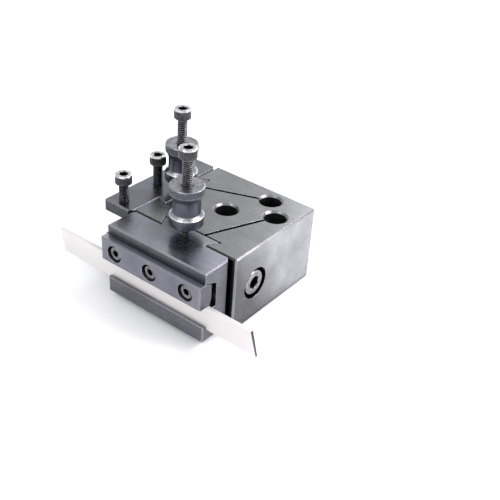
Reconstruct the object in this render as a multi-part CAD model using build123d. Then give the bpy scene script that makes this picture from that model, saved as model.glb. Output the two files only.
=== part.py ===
"""Lathe tool post: a slit dovetail block carrying a parting-blade holder and a turning-tool holder.

Frame: origin on the axis of the stud bore at the block's base face, +Z up, +X out of the face that shows
a jaw screw, -Y out of the face that carries the parting holder, -X out of the face that carries the
turning holder.  Millimetres.  Threads are plain cylinders at their major diameter.
"""
from build123d import *
import math
import os

os.makedirs("parts", exist_ok=True)

# ---------------------------------------------------------------- driving dimensions
# post block
block_side = 63.5
block_height = 41.3
block_edge = 0.8
stud_bore_d = 11.1
relief_hole_d = 11.0
hole_countersink = 1.0
relief_from_near_face = 9.7
relief_from_far_face = 20.9
slit_width = 1.6
slit_start = 7.6

# dovetail between block and holders
dovetail_mouth = 27.4
dovetail_depth = 6.5
dovetail_angle = 60.0
dovetail_gap = 0.15
dovetail_back_gap = 0.35
tongue_corner = 0.7
seam_edge = 0.3

# jaw screws (M8 socket head)
jaw_thread_d = 8.0
jaw_screw_grip = 12.5
jaw_screw_from_corner = 15.9
jaw_counterbore_d = 16.6
jaw_head_recess = 0.5
jaw_pass_gap = 0.5
jaw_tap_spare = 2.0

# both holders
holder_reach = 18.5
holder_edge = 0.6
holder_rear_corner = 2.4
height_axis_inside = 1.9
height_thread_d = 5.0
height_screw_length = 50.0
height_tap_spare = 2.5

# parting holder
parting_height = 38.1
parting_length = 60.4
parting_corner_gap = 0.2
roof_set_back = 0.9
roof_front = 5.4
roof_back = 8.0
rear_wall = 9.9
relief_slot = 3.5
shelf_drop = 2.6
lip_height = 8.5
parting_screw_stand = 39.4

# clamp bar and its screws (M4 socket head)
bar_left_out = 1.2
bar_proud = 2.9
bar_drop = 18.3
bar_gap = 0.3
bar_edge = 0.6
bar_heel_in = 0.9
bar_heel_up = 3.4
bar_thread_d = 4.0
bar_screw_pitch = 22.1
bar_screw_length = 14.0
bar_pass_gap = 0.3
bar_counterbore_gap = 0.9
bar_head_recess = 0.9
bar_tap_spare = 0.8

# parting blade
blade_length = 125.0
blade_height = 12.7
blade_thickness = 2.0
blade_lean_left = 1.9
blade_lean_right = 3.6
blade_back = 1.8
blade_left_out = 35.9
blade_gap = 0.06
blade_relief = 0.35

# turning holder and its tool screws (M5 socket head)
turning_height = 28.6
turning_length = 64.6
turning_corner_out = 2.2
tool_roof = 6.2
tool_slot_height = 14.0
tool_slot_depth = 13.0
tool_thread_d = 5.0
tool_screw_pitch = 24.2
tool_screw_first = 5.4
tool_screw_out = 10.2
tool_screw_length = 16.0
tool_screw_stand = (9.9, 11.6, 10.6)
turning_screw_stand = 39.1

# height nuts
nut_height = 20.0
nut_rest_gap = 5.8
nut_knurl_d = 16.6
nut_knurl_height = 4.2
nut_neck = 2.6
nut_waist_d = 13.2
nut_foot_d = 16.6
nut_foot_height = 4.8
nut_cone = 1.4
nut_edge = 0.5

# socket head screws: share of the head's height, head's width and thread's width
socket_share = 0.55
head_edge_share = 0.05
tip_share = 0.12
thread_gap = 0.05

# how far a cut runs past a face, and how deep two joined solids share material
overcut = 1.0
shared = 2.0

# ---------------------------------------------------------------- places worked out from them
half = block_side / 2
mouth_half = dovetail_mouth / 2
flare = dovetail_depth / math.tan(math.radians(dovetail_angle))
relief_a = half - relief_from_near_face
relief_b = half - relief_from_far_face
socket_back = dovetail_depth - half
jaw_along = jaw_screw_from_corner - half
jaw_z = block_height / 2
parting_base = block_height - parting_height
turning_base = block_height - turning_height
nut_base = block_height + nut_rest_gap
front_y = -half - holder_reach
parting_x = parting_corner_gap - half + parting_length / 2
turning_x = half + turning_corner_out - turning_length / 2
blade_x = parting_x - parting_length / 2 - blade_left_out + blade_length / 2
BIG = 4 * block_side


def head_size(thread_d):
    """Head diameter, head height, hexagon across flats and hexagon depth of a socket cap screw."""
    table = {4.0: (7.0, 4.0, 3.0), 5.0: (8.5, 5.0, 4.0), 6.0: (10.0, 6.0, 5.0), 8.0: (13.0, 8.0, 6.0)}
    if thread_d in table:
        head_d, head_h, flats = table[thread_d]
    else:
        head_d, head_h, flats = 1.5 * thread_d + 1.0, thread_d, 0.78 * thread_d
    return head_d, head_h, flats, socket_share * head_h


def revolved(points):
    """Solid of revolution about Z from (radius, height) points."""
    return revolve(make_face(Plane.XZ * Polyline(*points, close=True)), Axis.Z, 360)


def prism_x(points, length, centre):
    """Prism along X from (y, z) points, its middle at x = centre."""
    face = make_face(Plane.YZ * Polyline(*points, close=True))
    return Pos(centre - length / 2, 0, 0) * extrude(face, amount=length, dir=(1, 0, 0))


def prism_z(points, low, high):
    """Prism along Z from (x, y) points."""
    return Pos(0, 0, low) * extrude(make_face(Polyline(*points, close=True)), amount=high - low)


def drill(diameter, length):
    """Cylinder standing on Z = 0, for cutting."""
    return Cylinder(diameter / 2, length, align=(Align.CENTER, Align.CENTER, Align.MIN))


def cap_screw(thread_d, length):
    """Socket cap screw along Z: head upwards, underside of the head at Z = 0, tip at Z = -length."""
    head_d, head_h, flats, hex_depth = head_size(thread_d)
    edge, tip = head_edge_share * head_d, tip_share * thread_d
    r, h = head_d / 2, thread_d / 2
    body = revolved([(0, -length), (h - tip, -length), (h, tip - length), (h, 0), (r, 0),
                     (r, head_h - edge), (r - edge, head_h), (0, head_h)])
    hexagon = RegularPolygon(flats / 2, 6, major_radius=False)
    socket = Pos(0, 0, head_h - hex_depth) * extrude(hexagon, amount=head_h)
    return body - socket


def holder_stock(height, length, centre, base):
    """Chamfered bar of stock that a holder is milled from, its rear vertical corners cut back."""
    depth = holder_reach - dovetail_gap
    stock = Pos(centre, front_y + depth / 2, base + height / 2) * Box(length, depth, height)
    rear, side, cut = front_y + depth, length / 2, holder_rear_corner
    outline = [(-side, front_y), (side, front_y), (side, rear - cut), (side - cut, rear), (cut - side, rear),
               (-side, rear - cut)]
    return chamfer(stock.edges(), holder_edge) & Pos(centre, 0, 0) * prism_z(outline, base, base + height)


def dovetail_tongue(base, top):
    """Male dovetail of a holder, running fit in the block's socket."""
    slope = math.tan(math.radians(dovetail_angle))
    outer = mouth_half - dovetail_gap / math.sin(math.radians(dovetail_angle))
    back, root = socket_back - dovetail_back_gap, -half - shared
    tip = outer + (back + half) / slope - tongue_corner
    right = [(outer, root), (outer, -half), (tip, back - tongue_corner * slope), (tip, back)]
    tongue = prism_z(right + [(-x, y) for x, y in reversed(right)], base, top)
    return chamfer(tongue.edges().group_by(Axis.Z)[-1], seam_edge)


def height_tap(depth_below_top):
    """Tapped hole for the height screw, cut from above the holder's top face."""
    bottom = block_height - depth_below_top
    return Pos(0, height_axis_inside - half, bottom) * drill(height_thread_d + 2 * thread_gap, BIG)


# ---------------------------------------------------------------- post block
def slit_line(share):
    """Point on the slit's centre line: share 0 at the socket's back face, 1 at the relief hole's centre."""
    return (slit_start + share * (relief_a - slit_start), socket_back + share * (relief_b - socket_back))


def mirrored(shape):
    """Copy of a cut across the block's diagonal plane x = y."""
    return mirror(shape, about=Plane((0, 0, 0), x_dir=(1, 1, 0), z_dir=(1, -1, 0)))


def jaw_screw_x():
    """Where the slit crosses the jaw screw's axis, and where its head seats."""
    share = (jaw_along - socket_back) / (relief_b - socket_back)
    crossing = slit_line(share)[0]
    seat = half - head_size(jaw_thread_d)[1] - jaw_head_recess
    return crossing, seat


def jaw_screw_length():
    """Underside of the head to the tip: through the jaw and the slit, then the grip in the web."""
    crossing, seat = jaw_screw_x()
    return seat - crossing + jaw_screw_grip


def socket_cut():
    """Dovetail socket in the -Y face, its top edges broken."""
    inner = mouth_half + flare
    front = -half - overcut
    outline = [(-mouth_half, front), (-mouth_half, -half), (-inner, socket_back), (inner, socket_back),
               (mouth_half, -half), (mouth_half, front)]
    mouth = Pos(0, 0, block_height - seam_edge) * make_face(Polyline(*outline, close=True))
    flared = extrude(mouth, amount=seam_edge + overcut, taper=-45)
    return prism_z(outline, -overcut, block_height + overcut) + flared


def slit_cut():
    """Saw slit from the socket's back face into the relief hole."""
    (x0, y0), (x1, y1) = slit_line(-overcut / block_side), slit_line(1)
    run = math.hypot(x1 - x0, y1 - y0)
    nx, ny = (y1 - y0) / run * slit_width / 2, (x0 - x1) / run * slit_width / 2
    return prism_z([(x0 - nx, y0 - ny), (x1 - nx, y1 - ny), (x1 + nx, y1 + ny), (x0 + nx, y0 + ny)],
                   -overcut, block_height + overcut)


def round_cut(x, y, diameter):
    """Through hole along Z with a countersunk mouth in the top face."""
    r, sink, end = diameter / 2, hole_countersink, block_height + overcut
    mouth = (r + sink + overcut, end)
    return Pos(x, y, 0) * revolved([(0, -overcut), (r, -overcut), (r, block_height - sink), mouth, (0, end)])


def jaw_screw_cut():
    """Counterbore, clearance hole and tapped hole of the jaw screw in the +X face."""
    crossing, seat = jaw_screw_x()
    tip = seat - jaw_screw_length()
    bore = Pos(seat, 0, 0) * (Rot(0, 90, 0) * drill(jaw_counterbore_d, BIG))
    clear = Pos(crossing, 0, 0) * (Rot(0, 90, 0) * drill(jaw_thread_d + 2 * jaw_pass_gap, BIG))
    tapped = Pos(tip - jaw_tap_spare, 0, 0) * (Rot(0, 90, 0) * drill(jaw_thread_d + 2 * thread_gap, BIG))
    return Pos(0, jaw_along, jaw_z) * (bore + clear + tapped)


def post_block():
    """Square block, split into two flexing jaws by slits that end in relief holes."""
    block = Pos(0, 0, block_height / 2) * Box(block_side, block_side, block_height)
    block = chamfer(block.edges(), block_edge)
    one_side = [socket_cut(), slit_cut(), round_cut(relief_a, relief_b, relief_hole_d), jaw_screw_cut()]
    for cut in one_side + [mirrored(shape) for shape in one_side]:
        block -= cut
    return block - round_cut(0, 0, stud_bore_d)


def jaw_screws():
    """The two jaw screws: one in the +X face, its mirror in the +Y face."""
    seat = jaw_screw_x()[1]
    screw = cap_screw(jaw_thread_d, jaw_screw_length())
    right = Pos(seat, jaw_along, jaw_z) * (Rot(0, 90, 0) * screw)
    back = Pos(jaw_along, seat, jaw_z) * (Rot(-90, 0, 0) * screw)
    return {"jaw_screw_right": right, "jaw_screw_back": back}


# ---------------------------------------------------------------- height nut and height screw
def height_nut():
    """Spool nut on its own axis, foot at Z = 0, with a running thread bore."""
    foot, waist, knurl, e = nut_foot_d / 2, nut_waist_d / 2, nut_knurl_d / 2, nut_edge
    bore = height_thread_d / 2 + thread_gap
    shoulder = nut_height - nut_knurl_height
    outline = [(bore, 0), (foot - e, 0), (foot, e), (foot, nut_foot_height),
               (waist, nut_foot_height + nut_cone), (waist, shoulder - nut_neck), (knurl, shoulder),
               (knurl, nut_height - e), (knurl - e, nut_height), (bore, nut_height)]
    return revolved(outline)


def height_parts(prefix, stand):
    """Height screw and height nut of one holder, in the -Y face's place."""
    axis = Pos(0, height_axis_inside - half, 0)
    screw = Pos(0, 0, block_height + stand) * cap_screw(height_thread_d, height_screw_length)
    nut = Pos(0, 0, nut_base) * height_nut()
    return {prefix + "_height_screw": axis * screw, prefix + "_height_nut": axis * nut}


# ---------------------------------------------------------------- parting holder
roof_y = front_y + roof_set_back
wall_y = -half - rear_wall
bar_x = parting_x - bar_left_out / 2
bar_length = parting_length + bar_left_out
bar_front_y = front_y - bar_proud
bar_back_y = wall_y - relief_slot
blade_front_y = front_y + blade_back
blade_back_y = blade_front_y + blade_thickness
bar_top_z = block_height - roof_front - bar_gap
bar_base_z = block_height - bar_drop
bar_z = (bar_top_z + bar_base_z) / 2
blade_top_z = bar_base_z - blade_gap
blade_base_z = blade_top_z - blade_height
roof_slope = (roof_back - roof_front) / (wall_y - roof_y)
bar_seat_y = bar_front_y + head_size(bar_thread_d)[1] + bar_head_recess
bar_tip_y = bar_seat_y + bar_screw_length


def bar_screw_places():
    """X of the three bar screws."""
    return [bar_x + step * bar_screw_pitch for step in (-1, 0, 1)]


def parting_body():
    """Holder body: a C section whose sloped roof wedges the bar down on the blade."""
    top, base = block_height, parting_base
    shelf_z, lip_z = bar_base_z - shelf_drop, base + lip_height
    floor_z = blade_base_z - blade_gap
    shelf_y, lip_y = blade_back_y + blade_gap, blade_front_y - blade_gap
    section = [(-half - dovetail_gap, top), (roof_y + holder_edge, top), (roof_y, top - holder_edge),
               (roof_y, top - roof_front), (wall_y, top - roof_back), (wall_y, shelf_z), (shelf_y, shelf_z),
               (shelf_y, floor_z), (lip_y, floor_z), (lip_y, lip_z), (front_y, lip_z), (front_y, base),
               (-half - dovetail_gap, base)]
    body = prism_x(section, parting_length, parting_x)
    body = body & holder_stock(parting_height, parting_length, parting_x, base)
    body += dovetail_tongue(base, top)
    body -= height_tap(height_screw_length - parting_screw_stand + height_tap_spare)
    tap_end = bar_tip_y + bar_tap_spare
    for x in bar_screw_places():
        tap = Rot(90, 0, 0) * drill(bar_thread_d + 2 * thread_gap, tap_end - wall_y + overcut)
        body -= Pos(x, tap_end, bar_z) * tap
    return body


def clamp_bar():
    """Clamp bar: sloped top under the holder's roof, bevelled heel, counterbored for its screws."""
    drop_back = roof_slope * (bar_back_y - roof_y)
    e = bar_edge
    section = [(bar_front_y + e, bar_base_z), (bar_front_y, bar_base_z + e), (bar_front_y, bar_top_z - e),
               (bar_front_y + e, bar_top_z), (roof_y, bar_top_z), (bar_back_y - e, bar_top_z - drop_back),
               (bar_back_y, bar_top_z - drop_back - e), (bar_back_y, bar_base_z + bar_heel_up),
               (bar_back_y - bar_heel_in, bar_base_z)]
    bar = prism_x(section, bar_length, bar_x)
    tall = bar_top_z - bar_base_z + shared
    ends = Pos(bar_x, bar_front_y + BIG / 2, bar_z) * Box(bar_length, BIG, tall)
    bar = bar & chamfer(ends.edges().filter_by(Axis.Z), e)
    head_d = head_size(bar_thread_d)[0]
    for x in bar_screw_places():
        clear = Rot(-90, 0, 0) * drill(bar_thread_d + 2 * bar_pass_gap, BIG)
        sink = Rot(90, 0, 0) * drill(head_d + 2 * bar_counterbore_gap, BIG)
        bar -= Pos(x, bar_front_y - overcut, bar_z) * clear
        bar -= Pos(x, bar_seat_y, bar_z) * sink
    return bar


def parting_blade():
    """Parting blade: relieved flat strip with leaning ends."""
    x0, x1 = blade_x - blade_length / 2, blade_x + blade_length / 2
    face = Plane.XZ * Polyline((x0, blade_top_z), (x1 - blade_lean_right, blade_top_z), (x1, blade_base_z),
                               (x0 + blade_lean_left, blade_base_z), close=True)
    blank = Pos(0, blade_front_y, 0) * extrude(make_face(face), amount=blade_thickness, dir=(0, 1, 0))
    r = blade_relief
    section = [(blade_front_y, blade_top_z), (blade_back_y, blade_top_z), (blade_back_y - r, blade_base_z),
               (blade_front_y + r, blade_base_z)]
    return blank & prism_x(section, 2 * blade_length, blade_x)


def bar_screws():
    """Three screws that pull the clamp bar in."""
    screw = Rot(90, 0, 0) * cap_screw(bar_thread_d, bar_screw_length)
    return {f"blade_clamp_screw_{n}": Pos(x, bar_seat_y, bar_z) * screw
            for n, x in enumerate(bar_screw_places(), 1)}


# ---------------------------------------------------------------- turning holder
# It is modelled in the -Y face's place and turned about the stud axis to the -X face.
tool_screw_y = -half - tool_screw_out


def tool_screw_places():
    """X of the three tool screws, before the holder is turned to its face."""
    start = turning_x + turning_length / 2 - tool_screw_first
    return [start - step * tool_screw_pitch for step in range(3)]


def turning_body():
    """Holder body: a C section, open to the front and both ends, for a square-shank tool."""
    top, base = block_height, turning_base
    slot_top, slot_base = top - tool_roof, top - tool_roof - tool_slot_height
    inner_y = front_y + tool_slot_depth
    section = [(-half - dovetail_gap, top), (front_y, top), (front_y, slot_top), (inner_y, slot_top),
               (inner_y, slot_base), (front_y, slot_base), (front_y, base), (-half - dovetail_gap, base)]
    body = prism_x(section, turning_length, turning_x)
    body = body & holder_stock(turning_height, turning_length, turning_x, base)
    body += dovetail_tongue(base, top)
    body -= height_tap(height_screw_length - turning_screw_stand + height_tap_spare)
    for x in tool_screw_places():
        tap = drill(tool_thread_d + 2 * thread_gap, tool_roof + 2 * overcut)
        body -= Pos(x, tool_screw_y, slot_top - overcut) * tap
    return body


def tool_screws():
    """Three screws standing in the roof, drawn back from the empty tool slot."""
    screws = {}
    for n, (x, stand) in enumerate(zip(tool_screw_places(), tool_screw_stand), 1):
        place = Pos(x, tool_screw_y, block_height + stand)
        screws[f"tool_clamp_screw_{n}"] = place * cap_screw(tool_thread_d, tool_screw_length)
    return screws


# ---------------------------------------------------------------- assembly
def build():
    """Every piece in its place, by node name."""
    pieces = {"post_block": post_block(), **jaw_screws()}
    pieces |= {"parting_holder_body": parting_body(), "blade_clamp_bar": clamp_bar(),
               "parting_blade": parting_blade()}
    pieces |= bar_screws()
    pieces |= height_parts("parting", parting_screw_stand)
    turning = {"turning_holder_body": turning_body(), **tool_screws(),
               **height_parts("turning", turning_screw_stand)}
    pieces |= {name: Rot(0, 0, -90) * shape for name, shape in turning.items()}
    return pieces


for node, shape in build().items():
    export_step(shape, f"parts/{node}.step")
    print(f"{node}: volume {shape.volume:.1f} mm3, solids {len(shape.solids())}")
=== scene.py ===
# %% [markdown]
# # A quick change tool post, finished in Blender
# A square steel block with two sawn slits carries two tool holders in its dovetails. One holds a parting
# blade under a clamp bar, the other is an open slot for a square tool. Places and overall sizes come from
# the loaded frame, where each piece already stands in its true position. What the frame leaves out, such
# as pitches, keys and knurls, is named here in millimetres.

# %% Load the frame
import math

import bpy
import numpy as np
from mathutils import Matrix, Vector


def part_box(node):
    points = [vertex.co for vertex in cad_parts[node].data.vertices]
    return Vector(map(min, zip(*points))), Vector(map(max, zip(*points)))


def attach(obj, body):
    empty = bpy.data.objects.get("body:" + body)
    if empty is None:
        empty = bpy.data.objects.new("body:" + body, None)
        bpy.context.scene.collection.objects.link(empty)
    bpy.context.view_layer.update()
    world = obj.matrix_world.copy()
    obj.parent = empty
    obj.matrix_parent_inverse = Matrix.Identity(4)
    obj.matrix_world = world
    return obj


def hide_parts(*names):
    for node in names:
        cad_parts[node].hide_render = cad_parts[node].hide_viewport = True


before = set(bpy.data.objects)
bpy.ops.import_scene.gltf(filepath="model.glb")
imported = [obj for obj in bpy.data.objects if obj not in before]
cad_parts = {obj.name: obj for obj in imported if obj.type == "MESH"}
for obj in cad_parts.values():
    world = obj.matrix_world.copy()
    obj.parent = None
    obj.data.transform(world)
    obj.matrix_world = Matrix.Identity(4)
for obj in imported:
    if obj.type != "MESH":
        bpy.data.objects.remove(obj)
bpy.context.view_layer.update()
MM = 0.001
block_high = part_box("post_block")[1]
print("nodes in the frame:", len(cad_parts), "block top at", round(block_high.z / MM, 1), "mm")

# %% [markdown]
# ## Camera
# The eye stands in front of the block's parting-holder side, to the right and above, close enough that
# the near holder looks larger than the far one. A constraint could keep it aimed at the block. Three named
# turns are used instead, because they hold its roll as well. A camera looks along its own -Z axis, so they
# are the roll about that axis, the tilt up from straight down, and the heading about the world's Z.

# %% Camera
EYE = Vector((204.5, -266.6, 240.6)) * MM
HEADING, DOWN_TILT, ROLL = 35.25, 33.5, 4.5
FOCAL = 57.0

lens = bpy.data.cameras.new("camera")
lens.lens = FOCAL
lens.sensor_width = 36.0
lens.clip_start = 0.01
camera = bpy.data.objects.new("camera", lens)
bpy.context.scene.collection.objects.link(camera)
heading_turn = Matrix.Rotation(math.radians(HEADING), 4, "Z")
tilt_turn = Matrix.Rotation(math.radians(90 - DOWN_TILT), 4, "X")
roll_turn = Matrix.Rotation(math.radians(ROLL), 4, "Z")
camera.matrix_world = Matrix.Translation(EYE) @ heading_turn @ tilt_turn @ roll_turn
bpy.context.scene.camera = camera
print("camera", round((EYE - block_high).length / MM), "mm from the block")

# %% [markdown]
# ## Floor
# Small steel parts are shown on a white table. A curved sweep would hide the table's far edge from every
# side. A flat plane far wider than the part is simpler, and its edge shows only from low down.

# %% Floor
def plane_mesh(name, size):
    """Square of the given side in the plane z = 0: four corners at plus and minus half the side."""
    h = size / 2
    mesh = bpy.data.meshes.new(name)
    mesh.from_pydata([(-h, -h, 0), (h, -h, 0), (h, h, 0), (-h, h, 0)], [], [(0, 1, 2, 3)])
    thing = bpy.data.objects.new(name, mesh)
    bpy.context.scene.collection.objects.link(thing)
    return thing


FLOOR_SIDE = 6.0
floor = plane_mesh("floor", FLOOR_SIDE)
floor_paint = bpy.data.materials.new("white_table")
floor_paint.use_nodes = True
paint_shader = floor_paint.node_tree.nodes["Principled BSDF"]
paint_shader.inputs["Base Color"].default_value = (0.93, 0.93, 0.935, 1)
paint_shader.inputs["Roughness"].default_value = 0.9
paint_shader.inputs["Specular IOR Level"].default_value = 0.1
floor.data.materials.append(floor_paint)
print("floor", FLOOR_SIDE, "m wide")

# %% [markdown]
# ## Light
# Ground steel shows what surrounds it, so the light matters as much as the finish. One large panel would
# leave the edges dull. Three smaller soft ones are used, behind, in front and a stronger one at the right,
# so that each edge and rim that leans towards one of them shines. Each is set by its radiance, the
# brightness that a mirror would show, because that stays the same when the panel's size changes. The world
# fills the rest with an even white, so that no face reflects black.

# %% Lights
def softbox(name, place, size, radiance, colour):
    """Square area light at a place, its face turned to the object's middle.
    A one-sided light of side a and radiance L gives pi * L * a * a watts."""
    data = bpy.data.lights.new(name, "AREA")
    data.shape = "SQUARE"
    data.size = size
    data.energy = math.pi * radiance * size * size
    data.color = colour
    thing = bpy.data.objects.new(name, data)
    middle = Vector((0, 0, block_high.z / 2))
    aim = (middle - Vector(place)).to_track_quat("-Z", "Y").to_matrix().to_4x4()
    thing.matrix_world = Matrix.Translation(Vector(place)) @ aim
    bpy.context.scene.collection.objects.link(thing)


WHITE, PALE_LILAC = (1.0, 1.0, 1.0), (1.0, 0.93, 1.03)
# name, place in metres, side in metres, radiance, colour
SOFTBOXES = [
    ("back_softbox", (-0.14, 0.72, 0.52), 0.42, 4.0, WHITE),
    ("right_softbox", (0.52, 0.34, 0.62), 0.46, 9.8, PALE_LILAC),
    ("front_softbox", (-0.10, -0.75, 0.75), 0.40, 5.0, WHITE),
]
for row in SOFTBOXES:
    softbox(*row)

world = bpy.data.worlds.new("studio")
world.use_nodes = True
sky = world.node_tree.nodes["Background"]
sky.inputs["Color"].default_value = (0.98, 0.985, 1.0, 1)
sky.inputs["Strength"].default_value = 0.98
bpy.context.scene.world = world
bpy.context.scene.view_settings.view_transform = "Standard"
print(len(SOFTBOXES), "softboxes round a white table")

# %% [markdown]
# ## Surfaces from arrays
# A turned part is a profile carried round an axis. On a grid of rows (along the profile) and columns
# (round the axis) a knurl, a hexagon or a thread is a change of the radius that depends on both. Modelling
# tools could cut each groove, but a formula gives all of them in one array and keeps the mesh even. Each
# point also carries its wear, so that the finish can brighten the rims that hands and keys have rubbed.

# %% Grid meshes
def grid_mesh(points, wear, ring=False):
    """Vertices, faces and wear of a grid points[row, column, xyz] whose columns wrap round the axis; wear
    holds one value per row, or one per row and column.  With ring=True the rows close on each other too;
    otherwise both ends close in a pole, the mean of the end row.  Each face joins (row, column) to its
    neighbours in the next row and column."""
    rows, columns, _ = points.shape
    index = np.arange(rows * columns).reshape(rows, columns)
    here, there = (index, np.roll(index, -1, 0)) if ring else (index[:-1], index[1:])
    quads = np.stack([here, np.roll(here, -1, 1), np.roll(there, -1, 1), there], -1).reshape(-1, 4)
    vertices, faces = points.reshape(-1, 3), quads.tolist()
    wear = np.asarray(wear, float)
    wear = (np.repeat(wear[:, None], columns, 1) if wear.ndim == 1 else wear).reshape(-1)
    if not ring:
        first, last = index[0], index[-1]
        vertices = np.vstack([vertices, points[0].mean(0), points[-1].mean(0)])
        wear = np.append(wear, [wear[0], wear[-1]])
        pole = rows * columns
        faces += np.stack([np.roll(first, -1), first, np.full(columns, pole)], -1).tolist()
        faces += np.stack([last, np.roll(last, -1), np.full(columns, pole + 1)], -1).tolist()
    return vertices, faces, wear


def signed_volume(vertices, faces):
    """Sum over the faces of the tetrahedra to the origin: positive when the faces point outwards."""
    first = np.array([(f[0], f[1], f[2]) for f in faces])
    fourth = np.array([(f[0], f[2], f[3]) for f in faces if len(f) == 4])
    corners = vertices[np.vstack([first, fourth]) if len(fourth) else first]
    return np.einsum("ij,ij->i", corners[:, 0], np.cross(corners[:, 1], corners[:, 2])).sum() / 6


def piece(name, shells, crease=35.0):
    """Object made of closed shells, each (vertices, faces, wear), with outward faces and edges sharper
    than the crease angle, in degrees, left sharp.  wear, 0 to 1 for each vertex, is kept as an attribute
    for the finish."""
    all_vertices, all_faces, all_wear, start = [], [], [], 0
    for vertices, faces, wear in shells:
        if signed_volume(vertices, faces) < 0:
            faces = [tuple(reversed(f)) for f in faces]
        all_vertices.append(vertices)
        all_faces += [tuple(i + start for i in f) for f in faces]
        all_wear.append(wear)
        start += len(vertices)
    mesh = bpy.data.meshes.new(name)
    mesh.from_pydata(np.vstack(all_vertices).tolist(), [], all_faces)
    mesh.polygons.foreach_set("use_smooth", np.ones(len(mesh.polygons), bool))
    mesh.set_sharp_from_angle(angle=math.radians(crease))
    worn = mesh.attributes.new("wear", "FLOAT", "POINT")
    worn.data.foreach_set("value", np.concatenate(all_wear).astype(np.float32))
    mesh.update()
    thing = bpy.data.objects.new(name, mesh)
    bpy.context.scene.collection.objects.link(thing)
    print(name, "faces", len(all_faces))
    return thing


# %% Turned shapes
def round_angles(columns):
    """Equal angles for the columns of one full turn, the last one step short of the first."""
    return np.linspace(0, 2 * np.pi, columns, endpoint=False)


def around(profile, columns, bump=None):
    """Surface of revolution about Z: profile rows (radius, height), and bump(height, angle) in metres
    that is added to the radius."""
    profile = np.asarray(profile, float)
    angle = round_angles(columns)
    radius = np.repeat(profile[:, :1], columns, 1)
    height = np.repeat(profile[:, 1:2], columns, 1)
    if bump is not None:
        radius = radius + bump(height, angle[None, :])
    return np.stack([radius * np.cos(angle), radius * np.sin(angle), height], -1)


def placed(points, origin, axis):
    """Points of a shape that stands on Z, turned so that Z lies along the axis, and moved to the origin."""
    turn = Vector((0, 0, 1)).rotation_difference(Vector(axis)).to_matrix()
    return points @ np.array(turn).T + np.array(origin)


def arc(centre, radius, start, stop, steps):
    """Points (radius, height) on a round edge from one angle to another, in degrees."""
    a = np.radians(np.linspace(start, stop, steps))
    return np.stack([centre[0] + radius * np.cos(a), centre[1] + radius * np.sin(a)], -1)


def smooth_step(x):
    """0 below 0, 1 above 1, and a smooth cubic between."""
    x = np.clip(x, 0, 1)
    return x * x * (3 - 2 * x)


# %% [markdown]
# ## Screw heads
# A socket cap screw's head is forged with a hexagon for the key, then knurled straight round its side for
# the fingers. The hexagon could be cut with a Boolean, which leaves long thin faces. It is a radius
# instead, the distance to a flat over the cosine of the angle from the flat's middle, so that one grid
# runs from the socket's floor over the rim and down the side. The rim is what a key and fingers rub, so it
# has the most wear.

# %% Screw head
RIM_ROWS, SIDE_ROWS, UNDER_ROWS = 6, 11, 4
TOP_WEAR, RIM_FOOT_WEAR, RIDGE_WEAR = 0.72, 0.8, 0.08
SOCKET_WEAR = (0.0, 0.0, 0.05, 0.85)


def screw_head(head_d, head_h, flats, ridges):
    """Grid and wear of a knurled socket head on z = 0: floor cone, hexagon wall, flat top, rounded rim,
    knurled side, underside.  Side radius = R - depth * (1 - |cos(ridges * angle / 2)|) between its ends."""
    big_r, edge, depth = head_d / 2, 0.07 * head_d, 0.016 * head_d
    socket_floor, mouth = 0.5 * head_h, 0.035 * head_d
    columns = ridges * 6
    angle = round_angles(columns)
    hexagon = flats / 2 / np.cos(np.mod(angle, np.pi / 3) - np.pi / 6)
    mouth_r = 1.17 * flats / 2
    rows = [(np.full(columns, 0.05 * big_r), socket_floor - 0.1 * head_h), (hexagon, socket_floor),
            (hexagon, head_h - mouth), (np.maximum(hexagon, mouth_r), head_h)]
    socket = np.array([np.stack([r * np.cos(angle), r * np.sin(angle), np.full(columns, z)], -1)
                       for r, z in rows])
    rim = arc((big_r - edge, head_h - edge), edge, 90, 0, RIM_ROWS)
    heights = np.linspace(head_h - edge, 0.5 * edge, SIDE_ROWS + 2)[1:-1]
    side = np.stack([np.full(SIDE_ROWS, big_r), heights], -1)
    under = arc((big_r - 0.5 * edge, 0.5 * edge), 0.5 * edge, 0, -90, UNDER_ROWS)
    profile = np.vstack([[(big_r - 1.5 * edge, head_h)], rim, side, under, [(0.3 * big_r, 0.0)]])

    def groove(height, turn):
        fade = smooth_step((height - 0.6 * edge) / edge) * smooth_step((head_h - edge - height) / edge)
        return fade * (1 - np.abs(np.cos(ridges * turn / 2)))

    outside = around(profile, columns, lambda height, turn: -depth * groove(height, turn))
    crest = RIDGE_WEAR * (1 - groove(np.repeat(profile[:, 1:2], columns, 1), angle[None, :]))
    rubbed_rows = np.concatenate([[TOP_WEAR], np.full(RIM_ROWS - 1, 1.0), [RIM_FOOT_WEAR]])
    worn = crest.copy()
    worn[:len(rubbed_rows)] = rubbed_rows[:, None]
    inside = np.repeat(np.array(SOCKET_WEAR)[:, None], columns, 1)
    return np.concatenate([socket, outside]), np.concatenate([inside, worn])


print("rows on a head: rim", RIM_ROWS, "side", SIDE_ROWS, "underside", UNDER_ROWS)

# %% [markdown]
# ## Screw threads
# A rolled thread is a helix. Sweeping a small triangle along a spiral would leave its ends open, so the
# shank is one grid whose depth depends on the height and on the share of a turn. That gives a true
# helix, closed at both ends. A coarse thread shows its bright crests more than a fine one does.

# %% Screw thread
COARSE_PITCH, COARSE_CREST_WEAR, FINE_CREST_WEAR = 0.9 * MM, 0.32, 0.12


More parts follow.
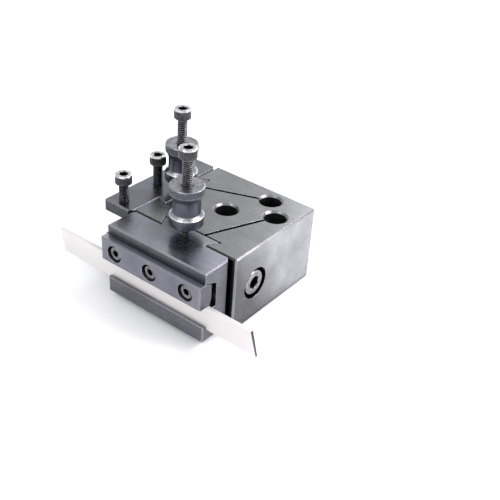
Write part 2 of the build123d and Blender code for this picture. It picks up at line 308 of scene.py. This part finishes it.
def screw_shank(thread_d, pitch, length, inside, columns=36, per_turn=10):
    """Grid and wear of a threaded shank from z = inside down to z = -length.
    Radius = R - depth * a trapezoid wave of (height / pitch - share of a turn), and the tip is a cone."""
    big_r, deep = thread_d / 2, 0.60 * pitch
    height = np.linspace(-0.3 * pitch, -length, int(length / pitch * per_turn))[:, None]
    angle = round_angles(columns)[None, :]
    phase = np.mod(height / pitch - angle / (2 * np.pi), 1.0)
    run_out = smooth_step((-height / pitch - 0.4) / 1.2)
    groove = smooth_step((1 - np.abs(2 * phase - 1) - 0.15) / 0.7) * run_out
    radius = np.minimum(big_r - deep * groove, big_r - 0.7 * pitch + 0.75 * (height + length))
    body = np.stack([radius * np.cos(angle), radius * np.sin(angle), height + 0 * angle], -1)
    neck = around([(0.4 * big_r, inside), (big_r, inside), (big_r, -0.1 * pitch)], columns)
    crest_wear = COARSE_CREST_WEAR if pitch > COARSE_PITCH else FINE_CREST_WEAR
    worn = np.concatenate([np.full((3, columns), 0.05), crest_wear * (1 - groove) ** 4])
    return np.concatenate([neck, body]), worn


# %% Whole screw
def cap_screw(node, axis, thread_d, pitch, flats, ridges, rubbed):
    """Socket cap screw in a frame node's place: its box gives the head's width and the whole length.
    rubbed scales the wear of the head, which is small on a head that sits in a hole."""
    low, high = (np.array(corner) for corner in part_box(node))
    way, axis = np.abs(np.array(axis)), np.array(axis)
    whole = float(((high - low) * way).sum())
    head_d = float(((high - low) * (1 - way)).max())
    head_h = thread_d
    tip = np.where(way > 0, np.where(axis > 0, low, high), (low + high) / 2)
    seat = tip + axis * (whole - head_h)
    head, head_wear = screw_head(head_d, head_h, flats, ridges)
    shank, shank_wear = screw_shank(thread_d, pitch, whole - head_h, 0.25 * head_h)
    thing = piece("threaded_" + node, [grid_mesh(placed(head, seat, axis), rubbed * head_wear),
                                       grid_mesh(placed(shank, seat, axis), shank_wear)])
    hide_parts(node)
    return thing


# %% [markdown]
# ## Every screw of the tool post
# Ten screws of four kinds clamp the jaws, the blade and the tool, and carry the height nuts. Copies of one
# screw could be scaled, but that would stretch its thread, so each is worked out from its own thread, key
# and knurl. A head that stands free is handled most, and one sunk in the clamp bar least, and the wear
# share says so.

# %% Every screw of the tool post
STANDING, SUNK, OPEN = 1.0, 0.25, 0.4
# node, axis out of the head, body, thread diameter, pitch, key size, ridges round the head, wear share
SCREWS = [
    ("parting_height_screw", (0, 0, 1), "parting_holder", 5.0, 1.0, 4.0, 36, STANDING),
    ("turning_height_screw", (0, 0, 1), "turning_holder", 5.0, 1.0, 4.0, 36, STANDING),
    ("jaw_screw_right", (1, 0, 0), "jaw_screw_right", 8.0, 1.25, 6.0, 48, OPEN),
    ("jaw_screw_back", (0, 1, 0), "jaw_screw_back", 8.0, 1.25, 6.0, 48, OPEN),
]
for n in (1, 2, 3):
    SCREWS.append((f"tool_clamp_screw_{n}", (0, 0, 1), f"tool_screw_{n}", 5.0, 0.8, 4.0, 36, STANDING))
    SCREWS.append((f"blade_clamp_screw_{n}", (0, -1, 0), f"blade_screw_{n}", 4.0, 0.7, 3.0, 30, SUNK))

screws = {}
for node, axis, body, thread_d, pitch, flats, ridges, rubbed in SCREWS:
    screws[node] = cap_screw(node, axis, thread_d * MM, pitch * MM, flats * MM, ridges, rubbed)
    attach(screws[node], body)
print(len(screws), "screws")

# %% [markdown]
# ## Height nuts
# Each holder hangs on a turned spool, which rests on the block and sets the tool's height. Its upper
# flange is knurled in a diamond pattern by two wheels, which press grooves that climb in opposite
# directions. Cutting each groove would take a Boolean apiece, so the radius is lowered instead by
# whichever of two crossed waves is deeper there, and the surface stands highest between the grooves.

# %% Height nut sizes
KNURLS, KNURL_DEPTH, KNURL_LEAN, KNURL_SHARPNESS = 44, 0.30 * MM, 0.75, 1.6
COLUMNS_PER_KNURL, KNURL_ROWS = 7, 27
CREST_WEAR = 0.16
# millimetres: flange height, cone below it, waist radius, foot height, cone above it, rounded edge
NUT = {"knurl_height": 4.2, "neck": 2.6, "waist_r": 6.6, "foot_height": 4.8, "cone": 1.4, "edge": 0.5}
print("spool nut with", KNURLS, "diamond knurls")

# %% Height nuts
def height_nut(node, bore_d):
    """Spool nut: a closed ring profile round Z, its upper flange with a diamond knurl.
    Knurl = 1 - sharpness * the lower of two triangle waves of angle plus and minus lean * height, and
    the radius drops by the knurl's depth where it is 1.  Each part of the profile is followed by its wear."""
    low, high = (np.array(corner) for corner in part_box(node))
    size = {key: value * MM for key, value in NUT.items()}
    tall, big_r, bore, e = high[2] - low[2], (high[0] - low[0]) / 2, bore_d / 2, size["edge"]
    waist, foot, shoulder = size["waist_r"], size["foot_height"], tall - size["knurl_height"]
    ring, corner = foot + size["cone"], 0.25 * MM
    flange_heights = np.linspace(shoulder + 0.25 * MM, tall - e, KNURL_ROWS)
    parts = [
        ([(bore, 0.35 * MM), (bore + 0.35 * MM, 0)], 0.1),
        (arc((big_r - e, e), e, -90, 0, 5), 0.02),
        ([(big_r, foot - corner)], 0.0),
        (arc((big_r - corner, foot - corner), corner, 15, 45, 3), 1.0),
        ([(big_r - 0.45 * MM, foot + 0.2 * MM)], 0.9),
        ([(big_r - 0.75 * MM, foot + 0.5 * MM)], 0.40),
        ([(waist + 0.35 * MM, ring - 0.28 * MM)], 0.35),
        ([(waist + 0.08 * MM, ring)], 0.1),
        ([(waist, ring + 0.25 * MM), (waist, shoulder - size["neck"] - 0.5 * MM)], 0.0),
        ([(waist + 0.12 * MM, shoulder - size["neck"]), (big_r - 0.35 * MM, shoulder - 0.1 * MM)], 0.03),
        (np.stack([np.full(KNURL_ROWS, big_r), flange_heights], -1), 0.12),
        (arc((big_r - e, tall - e), e, 18, 90, 5), 0.42),
        ([(big_r - 1.3 * e, tall)], 0.42),
        ([(bore + 1.2 * MM, tall), (bore + 0.6 * MM, tall)], 0.42),
        ([(bore, tall - 0.6 * MM)], 0.1),
    ]
    profile = np.vstack([np.asarray(rows, float) for rows, _ in parts])
    wear = np.concatenate([np.full(len(rows), value) for rows, value in parts])

    def knurl(height, turn):
        fade = (smooth_step((height - shoulder - 0.2 * MM) / (0.7 * MM))
                * smooth_step((tall - 0.4 * MM - height) / (0.5 * MM)))
        climb = KNURL_LEAN * height / big_r * KNURLS / (2 * np.pi)
        share = KNURLS * turn / (2 * np.pi)
        one = np.abs(2 * np.mod(share + climb, 1) - 1)
        other = np.abs(2 * np.mod(share - climb, 1) - 1)
        return fade * (1 - np.minimum(1, KNURL_SHARPNESS * np.minimum(one, other)))

    columns = KNURLS * COLUMNS_PER_KNURL
    centre = (low + high) / 2
    points = around(profile, columns, lambda height, turn: -KNURL_DEPTH * knurl(height, turn))
    cut = knurl(np.repeat(profile[:, 1:2], columns, 1), round_angles(columns)[None, :])
    flange = ((profile[:, 1] > shoulder + 0.1 * MM) & (profile[:, 1] < tall - e * 0.9))[:, None]
    worn = np.where(flange, CREST_WEAR * (1 - cut), wear[:, None])
    points = points + np.array([centre[0], centre[1], low[2]])
    thing = piece("knurled_" + node, [grid_mesh(points, worn, ring=True)])
    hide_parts(node)
    return thing


NUT_BORE = 5.1 * MM
nuts = {}
for holder in ("parting", "turning"):
    nuts[holder] = height_nut(holder + "_height_nut", NUT_BORE)
    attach(nuts[holder], holder + "_nut")

# %% [markdown]
# ## Parting blade
# A parting blade is a ground strip of high-speed steel, a little thinner at the bottom so that it
# clears its own groove, with both ends ground to a slope. A box could be cut to shape, but then its edges
# would be razor sharp. Here one eight-cornered section, with its edges already broken, is carried from end
# to end, and each corner stops where its height says, which gives the slopes.

# %% Parting blade
# The section is about six times as tall as it is thick, so its ends shrink less in height.
HEIGHT_SHRINK = 0.16


def parting_blade(node, lean_left, lean_right):
    """Strip with broken edges: x runs between the ends, which lean by a share of the height, and y
    follows the section's taper.  The end caps repeat the section a little smaller."""
    low, high = (np.array(corner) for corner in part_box(node))
    relief, edge, inset, stations = 0.35 * MM, 0.12 * MM, 0.12 * MM, 24
    front, back, foot, top = low[1], high[1], low[2], high[2]
    front_half = [(front + relief + edge, foot), (front + relief, foot + edge), (front, top - edge),
                  (front + edge, top)]
    back_half = [(back - edge, top), (back, top - edge), (back - relief, foot + edge),
                 (back - relief - edge, foot)]
    section = np.array(front_half + back_half)
    share = (section[:, 1] - foot) / (top - foot)
    left, right = low[0] + lean_left * (1 - share), high[0] - lean_right * share
    centre = section.mean(0)
    cap_shrink = 2 * inset / (back - front) * np.array([1, HEIGHT_SHRINK])
    small = centre + (section - centre) * (1 - cap_shrink)
    ends = [np.stack([x, outline[:, 0], outline[:, 1]], -1) for x, outline in
            ((left, small), (left + inset, section), (right - inset, section), (right, small))]
    stretch = np.linspace(0, 1, stations)[1:-1, None, None]
    body = ends[1] + (ends[2] - ends[1]) * stretch
    points = np.concatenate([np.array(ends[:2]), body, np.array(ends[2:])])
    thing = piece("ground_" + node, [grid_mesh(points, np.zeros(len(points)))], crease=20)
    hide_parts(node)
    return thing


LEAN_LEFT, LEAN_RIGHT = 1.9 * MM, 3.6 * MM
blade = parting_blade("parting_blade", LEAN_LEFT, LEAN_RIGHT)
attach(blade, "blade")

# %% [markdown]
# ## Finishes
# The block and holders are ground, then blued in a hot salt bath: a dark, thin oxide over bare steel.
# Real bluing is never even. It clouds over centimetres, shows the grinding wheel's fine lines, and wears
# bright wherever an edge has been handled. Painted images would have to be laid out on every face. Shader
# nodes that read the place in space need no layout, so a few small helpers build them.

# %% Node helpers
# Rays that each point sends out where a finish looks at what is round it.
PROBES = 6


def fresh(name):
    """New material with its node tree and its Principled shader."""
    material = bpy.data.materials.new(name)
    material.use_nodes = True
    return material, material.node_tree, material.node_tree.nodes["Principled BSDF"]


def add(tree, kind, values=None, **settings):
    """Node of a kind, with input values by name or number, and its own settings."""
    made = tree.nodes.new(kind)
    for key, value in settings.items():
        setattr(made, key, value)
    for key, value in (values or {}).items():
        made.inputs[key].default_value = value
    return made


def noise(tree, source, scale, detail, stretch=(1, 1, 1)):
    """Noise on Object coordinates, stretched per axis; the scale is in waves per metre."""
    mapping = add(tree, "ShaderNodeMapping", {"Scale": stretch})
    made = add(tree, "ShaderNodeTexNoise", {"Scale": scale, "Detail": detail, "Roughness": 0.6})
    tree.links.new(source, mapping.inputs["Vector"])
    tree.links.new(mapping.outputs["Vector"], made.inputs["Vector"])
    return made.outputs["Fac"]


def remap(tree, source, low, high, to_low, to_high):
    """Straight-line map of a value from one range to another, clamped."""
    ranges = {"From Min": low, "From Max": high, "To Min": to_low, "To Max": to_high}
    made = add(tree, "ShaderNodeMapRange", ranges)
    tree.links.new(source, made.inputs["Value"])
    return made.outputs["Result"]


def calc(tree, operation, one, other):
    """Math node of two values, each a socket or a number."""
    made = add(tree, "ShaderNodeMath", operation=operation)
    for slot, value in enumerate((one, other)):
        if isinstance(value, (int, float)):
            made.inputs[slot].default_value = value
        else:
            tree.links.new(value, made.inputs[slot])
    return made.outputs["Value"]


def dot_with(tree, source, axis):
    """How far a vector reaches along an axis."""
    made = add(tree, "ShaderNodeVectorMath", {1: axis}, operation="DOT_PRODUCT")
    tree.links.new(source, made.inputs[0])
    return made.outputs["Value"]


# %% Colour helpers
# A Mix node has sockets for every kind of data, and these are its two colours and their mixture.
COLOUR_A, COLOUR_B, COLOUR_OUT = 6, 7, 2


def blend_colour(tree, factor, one, other):
    """Colour between two colours, each a socket or an RGB tuple."""
    made = add(tree, "ShaderNodeMix", data_type="RGBA")
    tree.links.new(factor, made.inputs["Factor"])
    for slot, value in ((COLOUR_A, one), (COLOUR_B, other)):
        if isinstance(value, tuple):
            made.inputs[slot].default_value = (*value, 1)
        else:
            tree.links.new(value, made.inputs[slot])
    return made.outputs[COLOUR_OUT]


def times_grey(tree, colour, grey, share=None):
    """Colour multiplied by a grey, wholly or by a share."""
    made = add(tree, "ShaderNodeMix", {"Factor": 1.0}, data_type="RGBA", blend_type="MULTIPLY")
    if share is not None:
        tree.links.new(share, made.inputs["Factor"])
    tree.links.new(colour, made.inputs[COLOUR_A])
    tree.links.new(grey, made.inputs[COLOUR_B])
    return made.outputs[COLOUR_OUT]


# %% [markdown]
# ## Worn edges
# Hands and vices rub the oxide off the edges first. The designed pieces carry no wear that a finish could
# read, so the shader compares the true normal with one rounded over a fraction of a millimetre: they
# differ only near an edge. The new pieces have their own wear, which is truer on a knurl or a thread, where
# every point is near an edge.

# %% Worn edges
EDGE_RADIUS = 0.30 * MM
# How far the cosine between the two normals falls short of 1 where wear starts, and where it is whole.
LEAN_START, LEAN_WHOLE = 0.012, 0.10


def edge_mask(tree):
    """1 near an edge, 0 on a flat: how far a rounded normal leans from the true one."""
    rounded = add(tree, "ShaderNodeBevel", {"Radius": EDGE_RADIUS}, samples=PROBES)
    truth = add(tree, "ShaderNodeNewGeometry")
    dot = add(tree, "ShaderNodeVectorMath", operation="DOT_PRODUCT")
    tree.links.new(rounded.outputs["Normal"], dot.inputs[0])
    tree.links.new(truth.outputs["Normal"], dot.inputs[1])
    mask = remap(tree, dot.outputs["Value"], 1.0 - LEAN_START, 1.0 - LEAN_WHOLE, 0.0, 1.0)
    return mask, rounded.outputs["Normal"]


# %% [markdown]
# ## Painted shade in the narrow places
# Little light comes out of the saw slits, the seams and the counterbores, and painted shade darkens them
# further.
# They could be darkened one by one, by where they are. The share of open sky over each point finds them
# all at once, so that is used.

# %% Painted crevice shade
# How far the painted crevice shade reaches, and the darkest grey that it paints.
CREVICE_SHADE_REACH, CREVICE_SHADE_DARK = 4 * MM, 0.04


def with_painted_crevice_shade(tree, colour, closed, open_air):
    """Painted shade: colour darkened where another surface stands close.
    closed and open_air are the shares of free sky at which the painted shade is whole and gone."""
    near = add(tree, "ShaderNodeAmbientOcclusion", {"Distance": CREVICE_SHADE_REACH}, samples=PROBES)
    return times_grey(tree, colour, remap(tree, near.outputs["AO"], closed, open_air, CREVICE_SHADE_DARK, 1.0))


# %% [markdown]
# ## Painted light and shade on faces
# Each face of a ground block mirrors another part of the room, so neighbours differ in tone, and some run
# from dark to light. Cards hung round the block could do this, but each card would change several faces.
# Here those reflections are painted into the colour as light and shade, set face by face, at the price that
# it turns with the piece.

# %% Painted light and shade on faces
FACING_START, FACING_WHOLE = 0.75, 0.95


def facing(tree, axis):
    """1 on the faces that look along an axis, 0 on the others."""
    truth = add(tree, "ShaderNodeNewGeometry")
    return remap(tree, dot_with(tree, truth.outputs["Normal"], axis), FACING_START, FACING_WHOLE, 0.0, 1.0)


def painted_light_and_shade(tree, colour, place, axis, near, far=None, along=(0, 0, 1), start=0.0, stop=1.0):
    """Painted light and shade: colour of the faces that look along an axis, times a grey that runs from near
    to far while the place measured along a direction goes from start to stop.  Without far the grey is near
    throughout."""
    grey = remap(tree, dot_with(tree, place, along), start, stop, near, near if far is None else far)
    return times_grey(tree, colour, grey, facing(tree, axis))


# %% [markdown]
# ## Blued steel
# One recipe serves every steel piece, so that their steels match. Clouds and grinding lines set the
# oxide's tone, flecks and worn edges break it open to bare metal, and the roughness follows, because rubbed
# metal is smoother than oxide. The lines could be cut into the mesh, but most are finer than a millimetre
# and all are very shallow, so a bump is enough.

# %% Blued steel
# Waves per metre of the clouds, of the small bright specks, and of the patches that hold them.
CLOUDS, SPECKS, PATCHES = 70, 1500, 500
# Parts of a noise's range: most of it, and where wear, patches and specks begin and are whole.
SPREAD, WEAR_RANGE, PATCH_RANGE, SPECK_RANGE = (0.3, 0.7), (0.35, 0.6), (0.42, 0.62), (0.60, 0.72)
# The least share of wear, and of specks, that is left between the patches.
WEAR_FLOOR, PATCH_FLOOR = 0.4, 0.15
# How far the lines, the clouds and the wear change the roughness.
LINES_ROUGH, CLOUDS_ROUGH, WEAR_SMOOTH = 0.03, 0.05, 0.12
BUMP_STRENGTH, BUMP_HEIGHT, LINES_SHARE = 0.12, 0.010 * MM, 0.3


def blued_steel(name, dark, light, bright, rough, grain=(60, 700, 700), wear=0.9, streak=0.08,
                fleck=0.3, painted_light_rules=(), painted_seam_shade=(), painted_crevice_shade=None, own_wear=False, metal=1.0):
    """Oxide finish: colour clouds between dark and light, faint grinding lines, bright flecks where the
    oxide is broken, and edges worn to bright steel.  Three arguments add painted light and shade: face rules
    for the oxide alone, seam shade rules that darken the bare metal too, and the two shares of crevice shade."""
    material, tree, shader = fresh(name)
    place = add(tree, "ShaderNodeTexCoord").outputs["Object"]
    clouds = noise(tree, place, CLOUDS, 4)
    lines = noise(tree, place, 1, 4, grain)
    specks = noise(tree, place, SPECKS, 3)
    broken = noise(tree, place, PATCHES, 4)
    if own_wear:
        mask, rounded = add(tree, "ShaderNodeAttribute", attribute_name="wear").outputs["Fac"], None
    else:
        mask, rounded = edge_mask(tree)
    mask = calc(tree, "MULTIPLY", mask, remap(tree, broken, *WEAR_RANGE, WEAR_FLOOR * wear, wear))

    cloud_tone = remap(tree, clouds, *SPREAD, 0.0, 1.0)
    line_tone = remap(tree, lines, *SPREAD, -streak, streak)
    colour = blend_colour(tree, calc(tree, "ADD", cloud_tone, line_tone), dark, light)
    # Painted light and shade on the oxide, face by face.
    for rule in painted_light_rules:
        colour = painted_light_and_shade(tree, colour, place, *rule)
    patches = remap(tree, broken, *PATCH_RANGE, PATCH_FLOOR, 1.0)
    flecks = calc(tree, "MULTIPLY", remap(tree, specks, *SPECK_RANGE, 0.0, fleck), patches)
    colour = blend_colour(tree, flecks, colour, bright)
    colour = blend_colour(tree, mask, colour, bright)
    # Painted shade in the seams, over the bare metal too.
    for rule in painted_seam_shade:
        colour = painted_light_and_shade(tree, colour, place, *rule)
    # Painted shade in the slits, seams and counterbores.
    if painted_crevice_shade:
        colour = with_painted_crevice_shade(tree, colour, *painted_crevice_shade)
    tree.links.new(colour, shader.inputs["Base Color"])

    line_rough = remap(tree, lines, *SPREAD, -LINES_ROUGH, LINES_ROUGH)
    cloud_rough = remap(tree, clouds, *SPREAD, CLOUDS_ROUGH, -CLOUDS_ROUGH)
    uneven = calc(tree, "ADD", calc(tree, "ADD", line_rough, cloud_rough), rough)
    rubbed = calc(tree, "MULTIPLY", mask, WEAR_SMOOTH)
    tree.links.new(calc(tree, "SUBTRACT", uneven, rubbed), shader.inputs["Roughness"])

    bump = add(tree, "ShaderNodeBump", {"Strength": BUMP_STRENGTH, "Distance": BUMP_HEIGHT})
    relief = calc(tree, "ADD", calc(tree, "MULTIPLY", lines, LINES_SHARE), specks)
    tree.links.new(relief, bump.inputs["Height"])
    if rounded:
        tree.links.new(rounded, bump.inputs["Normal"])
    tree.links.new(bump.outputs["Normal"], shader.inputs["Normal"])
    shader.inputs["Metallic"].default_value = metal
    return material


# %% [markdown]
# ## The finish of the block and the holders
# The block's oxide is nearly grey, and the holders' is a little bluer. They could share one material, but
# pieces seldom come out of the bath alike, and here the turning holder is darker than the parting holder.
# Each rule below paints light or shade: it names the way that a face looks, its painted tone, and where the
# tone changes along the piece.

# %% Block finish
BARE = (0.80, 0.80, 0.81)
FRONT, LEFT, RIGHT, TOP = (0, -1, 0), (-1, 0, 0), (1, 0, 0), (0, 0, 1)
DIAGONAL = math.sqrt(0.5)
RIGHT_TOP_EDGE = (DIAGONAL, 0, DIAGONAL)
FRONT_TOP_EDGE = (0, -DIAGONAL, DIAGONAL)
LEFT_TOP_EDGE = (-DIAGONAL, 0, DIAGONAL)
ALONG_X, ALONG_Y, ALONG_Z = (1, 0, 0), (0, 1, 0), (0, 0, 1)
# Where a painted shade ends: just inside the block's outer faces, and just behind the floors of its sockets.
OUTER_SKIN = (-31 * MM, -29 * MM)
SOCKET_DEPTH = (-24 * MM, -22 * MM)

# Painted light and shade on the block: front and left faces shaded, the right top edge dimmed, and the right
# face painted from shade to a bright reflection towards the back and top.
block_painted_light = [
    (FRONT, 0.5, 1.0, ALONG_Y, *OUTER_SKIN),
    (LEFT, 0.5, 1.0, ALONG_X, *OUTER_SKIN),
    (RIGHT_TOP_EDGE, 0.8),
    (RIGHT, 0.45, 1.4, (0, 1, 0.6), -12 * MM, 16 * MM),
]
# Painted shade on the seam chamfers just behind the sockets' floors, over the bare metal too.
block_painted_seam_shade = [
    (FRONT_TOP_EDGE, 0.25, 1.0, ALONG_Y, *SOCKET_DEPTH),
    (LEFT_TOP_EDGE, 0.25, 1.0, ALONG_X, *SOCKET_DEPTH),
]
block_finish = blued_steel("blued_block", dark=(0.18, 0.188, 0.19), light=(0.27, 0.275, 0.285), bright=BARE,
                           rough=0.29, wear=0.55, painted_light_rules=block_painted_light, painted_seam_shade=block_painted_seam_shade,
                           painted_crevice_shade=(0.55, 0.85))
print(block_finish.name, "nodes", len(block_finish.node_tree.nodes))

# %% Holder finish
HOLDER_DARK, HOLDER_LIGHT = (0.19, 0.195, 0.225), (0.28, 0.285, 0.325)
# Painted light and shade on the holders: the front face shaded more higher up, both ends shaded, the right
# top edge dimmed, and the top painted brighter towards the right.
HOLDER_PAINTED_LIGHT = [
    (FRONT, 0.60, 0.34, ALONG_Z, 12 * MM, 36 * MM),
    (LEFT, 0.5),
    (RIGHT, 0.5),
    (RIGHT_TOP_EDGE, 0.4),
    (TOP, 1.0, 1.35, ALONG_X, -20 * MM, 26 * MM),
]


def holder_steel(name, share):
    """Finish of a holder body, its colours scaled by a share, with painted light and shade on its faces and
    in its narrow places.
    """
    dark, light = (tuple(share * part for part in colour) for colour in (HOLDER_DARK, HOLDER_LIGHT))
    return blued_steel(name, dark, light, bright=BARE, rough=0.28, wear=0.7, painted_light_rules=HOLDER_PAINTED_LIGHT,
                       painted_crevice_shade=(0.40, 0.70))


# %% [markdown]
# ## The finish of the small pieces
# The clamp bar is darker and rougher than its holder. The nuts and screws are darker still, with bright
# rims where they are handled. The blade is bare steel, ground along its length. A fully metallic shader
# would mirror the dark holder above it, so its metal share is low, which keeps its long faces pale, and
# its two sloped ends carry painted shade.

# %% Finishes of the small pieces
# The bar's right end carries painted shade, and its top a painted highlight.
bar_finish = blued_steel("blued_bar", dark=(0.155, 0.155, 0.185), light=(0.215, 0.215, 0.25), bright=BARE,
                         rough=0.42, wear=0.6, fleck=0.15, painted_light_rules=[(RIGHT, 0.6), (TOP, 2.0)])
nut_finish = blued_steel("blued_nut", dark=(0.05, 0.05, 0.066), light=(0.10, 0.10, 0.125),
                         bright=(0.72, 0.72, 0.74), rough=0.36, grain=(200, 200, 2200), wear=1.0,
                         fleck=0.10, own_wear=True)
black_finish = blued_steel("black_screw", dark=(0.010, 0.010, 0.013), light=(0.05, 0.05, 0.058),
                           bright=(0.85, 0.85, 0.86), rough=0.30, grain=(700, 700, 700), wear=1.0,
                           fleck=0.25, own_wear=True)
# Painted shade on the blade's two sloped ends.
blade_finish = blued_steel("bright_blade", dark=(0.66, 0.64, 0.63), light=(0.71, 0.69, 0.68), bright=BARE,
                           rough=0.45, grain=(25, 1800, 1800), streak=0.25, fleck=0.0, metal=0.4,
                           painted_light_rules=[(RIGHT, 0.06), (LEFT, 0.2)])
print("finishes for the bar, the nuts, the screws and the blade")


# %% Finishes on the pieces
def dress(thing, material):
    """Puts one material on every slot of an object."""
    if not thing.data.materials:
        thing.data.materials.append(material)
    for slot in thing.material_slots:
        slot.material = material


TURNING_SHARE = 0.75
dress(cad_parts["post_block"], block_finish)
for holder, share in (("parting", 1.0), ("turning", TURNING_SHARE)):
    dress(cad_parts[holder + "_holder_body"], holder_steel("blued_holder_" + holder, share))
dress(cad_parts["blade_clamp_bar"], bar_finish)
dress(blade, blade_finish)
for nut in nuts.values():
    dress(nut, nut_finish)
for screw in screws.values():
    dress(screw, black_finish)
print("materials:", len(bpy.data.materials))
